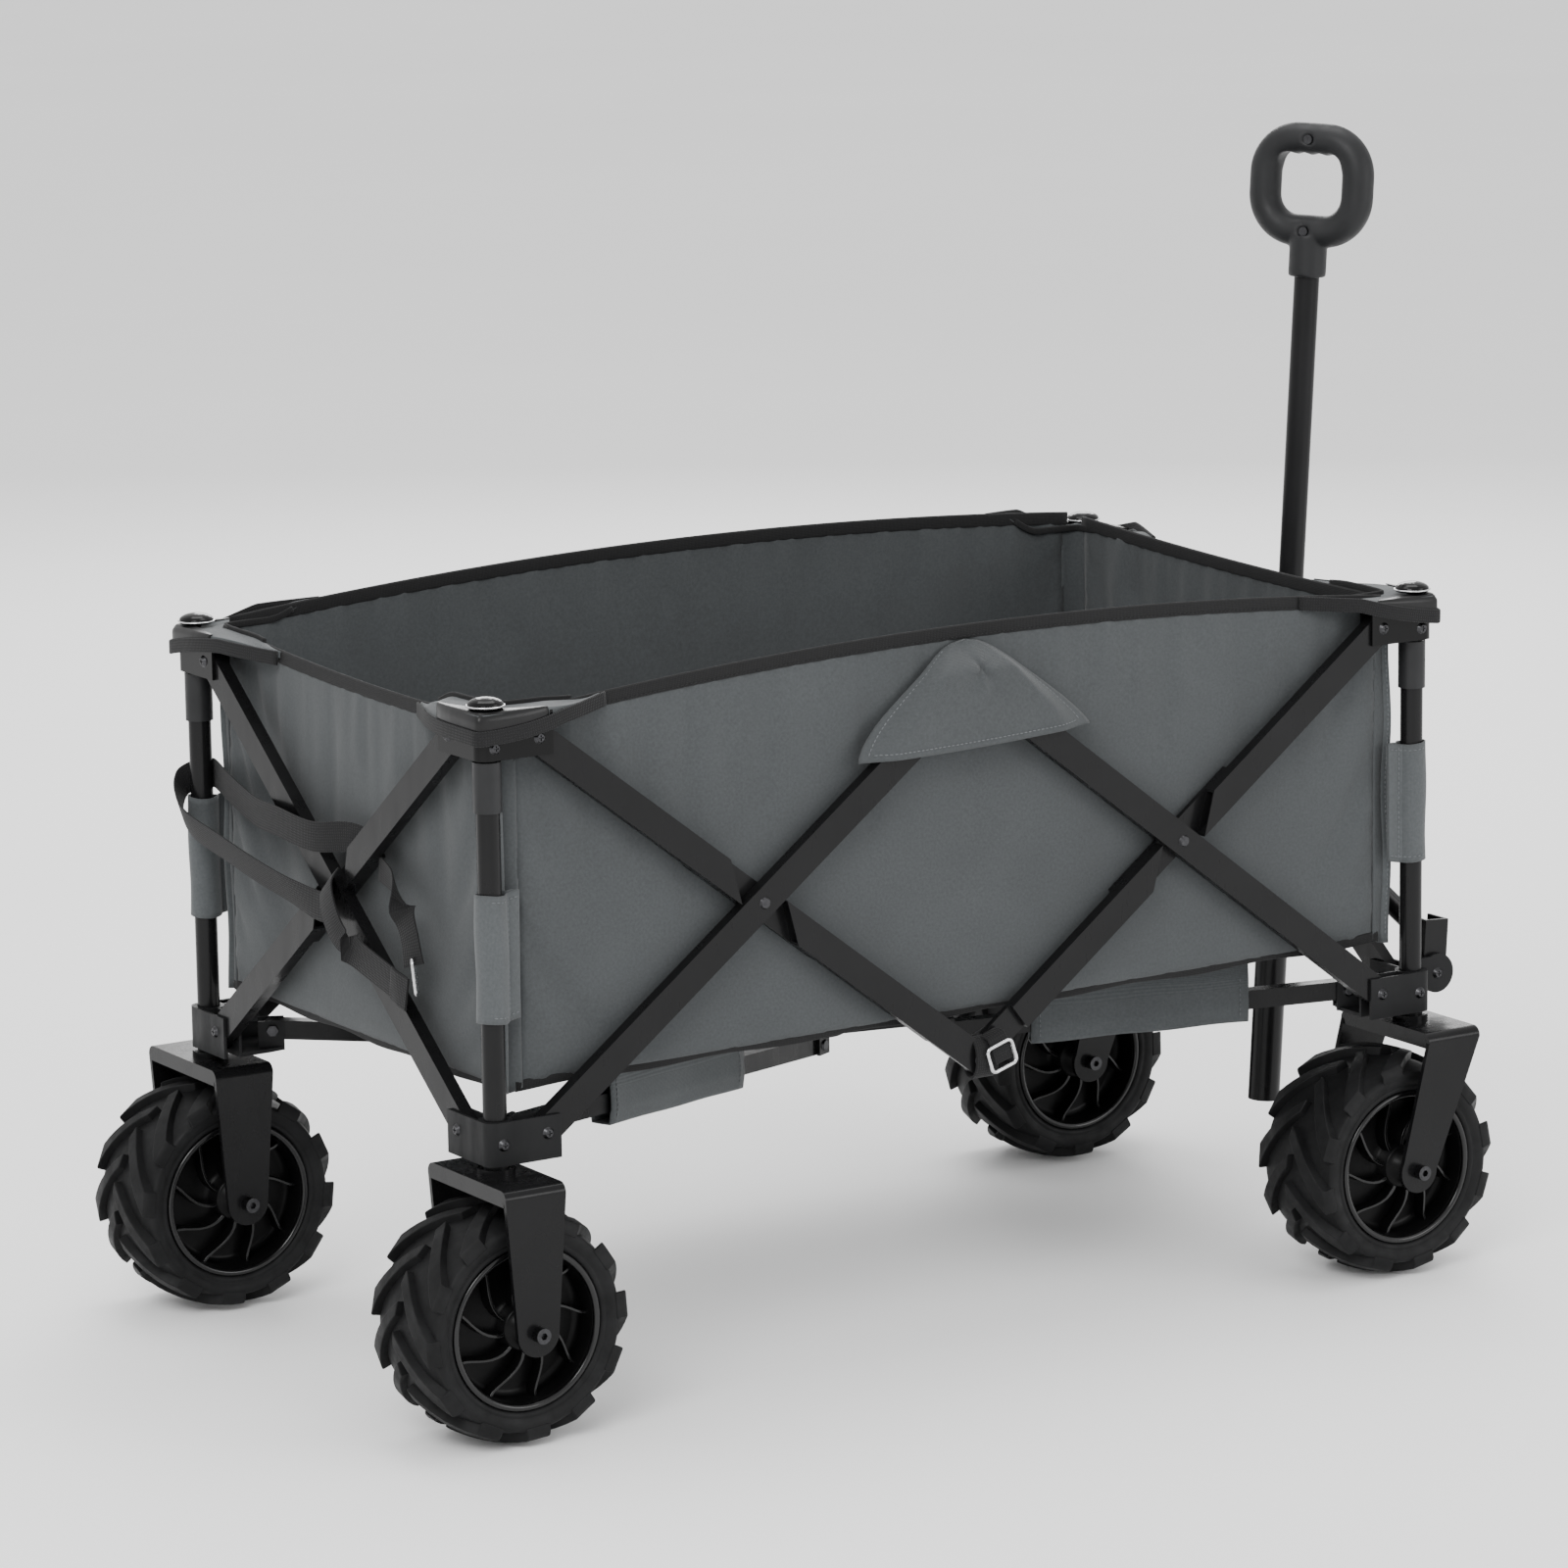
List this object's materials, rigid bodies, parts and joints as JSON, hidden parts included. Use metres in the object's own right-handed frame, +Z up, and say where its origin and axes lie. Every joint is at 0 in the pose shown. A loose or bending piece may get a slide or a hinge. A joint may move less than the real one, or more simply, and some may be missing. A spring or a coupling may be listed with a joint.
{
  "type": "folding utility wagon",
  "caption": "Folding utility wagon with a fabric tub on scissor side frames, swivelling front casters, chunky tyres and a telescopic pull handle.",
  "frame": {"origin": "on the ground, at the centre of the rectangle on which the four corner posts stand", "axes": "+X towards the front, where the pull handle is; +Y to the left; +Z up"},
  "size_m": [1.1076, 0.6232, 0.956],
  "materials": {
    "bracket_steel": "matt black powder coat",
    "tube_steel": "gloss black powder coat",
    "inner_steel": "satin black",
    "fork_steel": "satin black powder coat",
    "bolt_steel": "black oxide and bright zinc",
    "tyre": "matt dark grey moulded",
    "rim_plastic": "gloss black",
    "grip_plastic": "fine matt texture",
    "fabric": "woven polyester, dark grey",
    "webbing": "black polyester webbing"
  },
  "bodies": {
    "lower_rear_right": {"lower_bracket_rear_right": "bracket_steel", "post_rear_right": "tube_steel", "fork_rear_right": "fork_steel", "axle_rear_right": "bolt_steel"},
    "upper_rear_right": {"upper_bracket_rear_right": "bracket_steel", "inner_post_rear_right": "inner_steel", "fabric_bag": "fabric"},
    "wheel_rear_right": {"tyre_rear_right": "tyre", "rim_rear_right": "rim_plastic"},
    "lower_rear_left": {"lower_bracket_rear_left": "bracket_steel", "post_rear_left": "tube_steel", "fork_rear_left": "fork_steel", "axle_rear_left": "bolt_steel", "rear_strap": "webbing"},
    "upper_rear_left": {"upper_bracket_rear_left": "bracket_steel", "inner_post_rear_left": "inner_steel"},
    "wheel_rear_left": {"tyre_rear_left": "tyre", "rim_rear_left": "rim_plastic"},
    "fork_front_right": {"fork_front_right": "fork_steel", "axle_front_right": "bolt_steel"},
    "lower_front_right": {"lower_bracket_front_right": "bracket_steel", "post_front_right": "tube_steel"},
    "upper_front_right": {"upper_bracket_front_right": "bracket_steel", "inner_post_front_right": "inner_steel"},
    "wheel_front_right": {"tyre_front_right": "tyre", "rim_front_right": "rim_plastic"},
    "fork_front_left": {"fork_front_left": "fork_steel", "axle_front_left": "bolt_steel"},
    "lower_front_left": {"lower_bracket_front_left": "bracket_steel", "post_front_left": "tube_steel"},
    "upper_front_left": {"upper_bracket_front_left": "bracket_steel", "inner_post_front_left": "inner_steel"},
    "wheel_front_left": {"tyre_front_left": "tyre", "rim_front_left": "rim_plastic"},
    "rising_arm_rear_right": {"rising_arm_rear_right": "tube_steel"},
    "falling_arm_rear_right": {"falling_arm_rear_right": "tube_steel"},
    "rising_arm_rear_left": {"rising_arm_rear_left": "tube_steel"},
    "falling_arm_rear_left": {"falling_arm_rear_left": "tube_steel"},
    "rising_arm_front_right": {"rising_arm_front_right": "tube_steel"},
    "falling_arm_front_right": {"falling_arm_front_right": "tube_steel"},
    "rising_arm_front_left": {"rising_arm_front_left": "tube_steel"},
    "falling_arm_front_left": {"falling_arm_front_left": "tube_steel"},
    "end_arm_rear_outer": {"end_arm_rear_outer": "tube_steel"},
    "end_arm_rear_crimped": {"end_arm_rear_crimped": "tube_steel"},
    "end_arm_front_outer": {"end_arm_front_outer": "tube_steel"},
    "end_arm_front_crimped": {"end_arm_front_crimped": "tube_steel"},
    "floor_bar_rear_right": {"floor_bar_rear_right": "tube_steel"},
    "floor_bar_rear_left": {"floor_bar_rear_left": "tube_steel"},
    "floor_bar_front_right": {"floor_bar_front_right": "tube_steel"},
    "floor_bar_front_left": {"floor_bar_front_left": "tube_steel"},
    "floor_hub": {"floor_hub": "tube_steel"},
    "yoke_channel_right": {"yoke_channel_right": "tube_steel"},
    "yoke_channel_left": {"yoke_channel_left": "tube_steel"},
    "yoke_arm_right": {"yoke_arm_right": "tube_steel"},
    "yoke_arm_left": {"yoke_arm_left": "tube_steel"},
    "yoke_collar": {"yoke_collar": "grip_plastic"},
    "handle_outer_tube": {"handle_outer_tube": "tube_steel"},
    "handle_inner_tube": {"handle_inner_tube": "tube_steel", "handle_grip": "grip_plastic"}
  },
  "joints": [
    {"name": "fold", "type": "hinge", "parent": "lower_rear_right", "child": "rising_arm_rear_right", "pos_m": [-0.41, -0.247, 0.242], "axis": [0, -1, 0], "range_deg": [0, 38], "deforming": ["fabric_bag", "rear_strap"]},
    {"name": "crossing_rear_right", "type": "hinge", "parent": "rising_arm_rear_right", "child": "falling_arm_rear_right", "pos_m": [-0.205, -0.247, 0.3995], "axis": [0, -1, 0], "range_deg": [-76.5, 0.5]},
    {"name": "top_rear_right", "type": "hinge", "parent": "falling_arm_rear_right", "child": "upper_rear_right", "pos_m": [-0.41, -0.247, 0.557], "axis": [0, -1, 0], "range_deg": [-0.5, 38.5]},
    {"name": "top_middle_right", "type": "hinge", "parent": "rising_arm_rear_right", "child": "rising_arm_front_right", "pos_m": [0, -0.247, 0.557], "axis": [0, -1, 0], "range_deg": [-76.5, 0.5]},
    {"name": "crossing_front_right", "type": "hinge", "parent": "rising_arm_front_right", "child": "falling_arm_front_right", "pos_m": [0.205, -0.247, 0.3995], "axis": [0, -1, 0], "range_deg": [-0.5, 76.5]},
    {"name": "low_front_right", "type": "hinge", "parent": "rising_arm_front_right", "child": "lower_front_right", "pos_m": [0.41, -0.247, 0.242], "axis": [0, -1, 0], "range_deg": [-0.5, 38.5]},
    {"name": "top_front_right", "type": "hinge", "parent": "falling_arm_front_right", "child": "upper_front_right", "pos_m": [0.41, -0.247, 0.557], "axis": [0, -1, 0], "range_deg": [-38.5, 0.5]},
    {"name": "fold_rear_left", "type": "hinge", "parent": "lower_rear_left", "child": "rising_arm_rear_left", "pos_m": [-0.41, 0.247, 0.242], "axis": [0, -1, 0], "range_deg": [-0.5, 38.5]},
    {"name": "crossing_rear_left", "type": "hinge", "parent": "rising_arm_rear_left", "child": "falling_arm_rear_left", "pos_m": [-0.205, 0.247, 0.3995], "axis": [0, -1, 0], "range_deg": [-76.5, 0.5]},
    {"name": "top_middle_left", "type": "hinge", "parent": "rising_arm_rear_left", "child": "rising_arm_front_left", "pos_m": [0, 0.247, 0.557], "axis": [0, -1, 0], "range_deg": [-76.5, 0.5]},
    {"name": "crossing_front_left", "type": "hinge", "parent": "rising_arm_front_left", "child": "falling_arm_front_left", "pos_m": [0.205, 0.247, 0.3995], "axis": [0, -1, 0], "range_deg": [-0.5, 76.5]},
    {"name": "low_front_left", "type": "hinge", "parent": "rising_arm_front_left", "child": "lower_front_left", "pos_m": [0.41, 0.247, 0.242], "axis": [0, -1, 0], "range_deg": [-0.5, 38.5]},
    {"name": "top_front_left", "type": "hinge", "parent": "falling_arm_front_left", "child": "upper_front_left", "pos_m": [0.41, 0.247, 0.557], "axis": [0, -1, 0], "range_deg": [-38.5, 0.5]},
    {"name": "end_low_rear", "type": "hinge", "parent": "lower_rear_right", "child": "end_arm_rear_outer", "pos_m": [-0.455, -0.205, 0.242], "axis": [1, 0, 0], "range_deg": [-0.5, 38.5]},
    {"name": "end_crossing_rear", "type": "hinge", "parent": "end_arm_rear_outer", "child": "end_arm_rear_crimped", "pos_m": [-0.455, 0, 0.3995], "axis": [1, 0, 0], "range_deg": [-76.5, 0.5]},
    {"name": "end_low_rear_left", "type": "hinge", "parent": "end_arm_rear_crimped", "child": "lower_rear_left", "pos_m": [-0.455, 0.205, 0.242], "axis": [1, 0, 0], "range_deg": [-0.5, 38.5]},
    {"name": "end_top_rear_left", "type": "hinge", "parent": "end_arm_rear_outer", "child": "upper_rear_left", "pos_m": [-0.455, 0.205, 0.557], "axis": [1, 0, 0], "range_deg": [-38.5, 0.5]},
    {"name": "end_low_front", "type": "hinge", "parent": "lower_front_right", "child": "end_arm_front_outer", "pos_m": [0.455, -0.205, 0.242], "axis": [1, 0, 0], "range_deg": [-0.5, 38.5]},
    {"name": "end_crossing_front", "type": "hinge", "parent": "end_arm_front_outer", "child": "end_arm_front_crimped", "pos_m": [0.455, 0, 0.3995], "axis": [1, 0, 0], "range_deg": [-76.5, 0.5]},
    {"name": "bar_rear_right", "type": "hinge", "parent": "lower_rear_right", "child": "floor_bar_rear_right", "pos_m": [-0.41, -0.205, 0.238], "axis": [0.4472, -0.8944, 0], "range_deg": [-0.5, 76.08]},
    {"name": "bar_rear_left", "type": "hinge", "parent": "lower_rear_left", "child": "floor_bar_rear_left", "pos_m": [-0.41, 0.205, 0.238], "axis": [-0.4472, -0.8944, 0], "range_deg": [-0.5, 76.08]},
    {"name": "bar_front_right", "type": "hinge", "parent": "lower_front_right", "child": "floor_bar_front_right", "pos_m": [0.41, -0.205, 0.238], "axis": [0.4472, 0.8944, 0], "range_deg": [-0.5, 76.08]},
    {"name": "bar_front_left", "type": "hinge", "parent": "lower_front_left", "child": "floor_bar_front_left", "pos_m": [0.41, 0.205, 0.238], "axis": [-0.4472, 0.8944, 0], "range_deg": [-0.5, 76.08]},
    {"name": "hub_pivot", "type": "hinge", "parent": "floor_bar_rear_right", "child": "floor_hub", "pos_m": [0, 0, 0.20675], "axis": [0.4472, -0.8944, 0], "range_deg": [-76.08, 0.5]},
    {"name": "handle_tilt", "type": "hinge", "parent": "lower_front_right", "child": "yoke_channel_right", "pos_m": [0.484, -0.235, 0.247], "axis": [0, 1, 0], "range_deg": [-3, 90]},
    {"name": "handle_tilt_left", "type": "hinge", "parent": "lower_front_left", "child": "yoke_channel_left", "pos_m": [0.484, 0.235, 0.247], "axis": [0, 1, 0], "range_deg": [-3.5, 90.5]},
    {"name": "yoke_low_right", "type": "hinge", "parent": "yoke_channel_right", "child": "yoke_arm_right", "pos_m": [0.48572, -0.22, 0.27394], "axis": [0.998, 0, -0.0637], "range_deg": [-0.5, 57.49]},
    {"name": "yoke_top_right", "type": "hinge", "parent": "yoke_arm_right", "child": "yoke_collar", "pos_m": [0.49037, -0.046, 0.3468], "axis": [0.998, 0, -0.0637], "range_deg": [-57.49, 0.5]},
    {"name": "yoke_low_left", "type": "hinge", "parent": "yoke_channel_left", "child": "yoke_arm_left", "pos_m": [0.48572, 0.22, 0.27394], "axis": [0.998, 0, -0.0637], "range_deg": [-57.49, 0.5]},
    {"name": "handle_turn", "type": "hinge", "parent": "yoke_collar", "child": "handle_outer_tube", "pos_m": [0.49037, 0, 0.3468], "axis": [0.0637, 0, 0.998], "continuous": true},
    {"name": "handle_slide", "type": "slide", "parent": "handle_outer_tube", "child": "handle_inner_tube", "axis": [0.0637, 0, 0.998], "range_m": [-0.272, 0]},
    {"name": "swivel_front_right", "type": "hinge", "parent": "lower_front_right", "child": "fork_front_right", "pos_m": [0.45, -0.242, 0.22], "axis": [0, 0, 1], "continuous": true},
    {"name": "spin_front_right", "type": "hinge", "parent": "fork_front_right", "child": "wheel_front_right", "pos_m": [0.413, -0.242, 0.0965], "axis": [0, 1, 0], "continuous": true},
    {"name": "spin_rear_right", "type": "hinge", "parent": "lower_rear_right", "child": "wheel_rear_right", "pos_m": [-0.45, -0.242, 0.0965], "axis": [0, 1, 0], "continuous": true},
    {"name": "swivel_front_left", "type": "hinge", "parent": "lower_front_left", "child": "fork_front_left", "pos_m": [0.45, 0.242, 0.22], "axis": [0, 0, 1], "continuous": true},
    {"name": "spin_front_left", "type": "hinge", "parent": "fork_front_left", "child": "wheel_front_left", "pos_m": [0.413, 0.242, 0.0965], "axis": [0, 1, 0], "continuous": true},
    {"name": "spin_rear_left", "type": "hinge", "parent": "lower_rear_left", "child": "wheel_rear_left", "pos_m": [-0.45, 0.242, 0.0965], "axis": [0, 1, 0], "continuous": true}
  ],
  "couplings": [
    {"joint": "crossing_rear_right", "follows": "fold", "ratio": -2},
    {"joint": "top_rear_right", "follows": "fold", "ratio": 1},
    {"joint": "top_middle_right", "follows": "fold", "ratio": -2},
    {"joint": "crossing_front_right", "follows": "fold", "ratio": 2},
    {"joint": "low_front_right", "follows": "fold", "ratio": 1},
    {"joint": "top_front_right", "follows": "fold", "ratio": -1},
    {"joint": "fold_rear_left", "follows": "fold", "ratio": 1},
    {"joint": "crossing_rear_left", "follows": "fold", "ratio": -2},
    {"joint": "top_middle_left", "follows": "fold", "ratio": -2},
    {"joint": "crossing_front_left", "follows": "fold", "ratio": 2},
    {"joint": "low_front_left", "follows": "fold", "ratio": 1},
    {"joint": "top_front_left", "follows": "fold", "ratio": -1},
    {"joint": "end_low_rear", "follows": "fold", "ratio": 1},
    {"joint": "end_crossing_rear", "follows": "fold", "ratio": -2},
    {"joint": "end_low_rear_left", "follows": "fold", "ratio": 1},
    {"joint": "end_top_rear_left", "follows": "fold", "ratio": -1},
    {"joint": "end_low_front", "follows": "fold", "ratio": 1},
    {"joint": "end_crossing_front", "follows": "fold", "ratio": -2},
    {"joint": "bar_rear_right", "follows": "fold", "ratio": 1.989},
    {"joint": "bar_rear_left", "follows": "fold", "ratio": 1.989},
    {"joint": "bar_front_right", "follows": "fold", "ratio": 1.989},
    {"joint": "bar_front_left", "follows": "fold", "ratio": 1.989},
    {"joint": "hub_pivot", "follows": "fold", "ratio": -1.989},
    {"joint": "handle_tilt_left", "follows": "handle_tilt", "ratio": 1},
    {"joint": "yoke_low_right", "follows": "fold", "ratio": 1.4997},
    {"joint": "yoke_top_right", "follows": "fold", "ratio": -1.4997},
    {"joint": "yoke_low_left", "follows": "fold", "ratio": -1.4997}
  ]
}
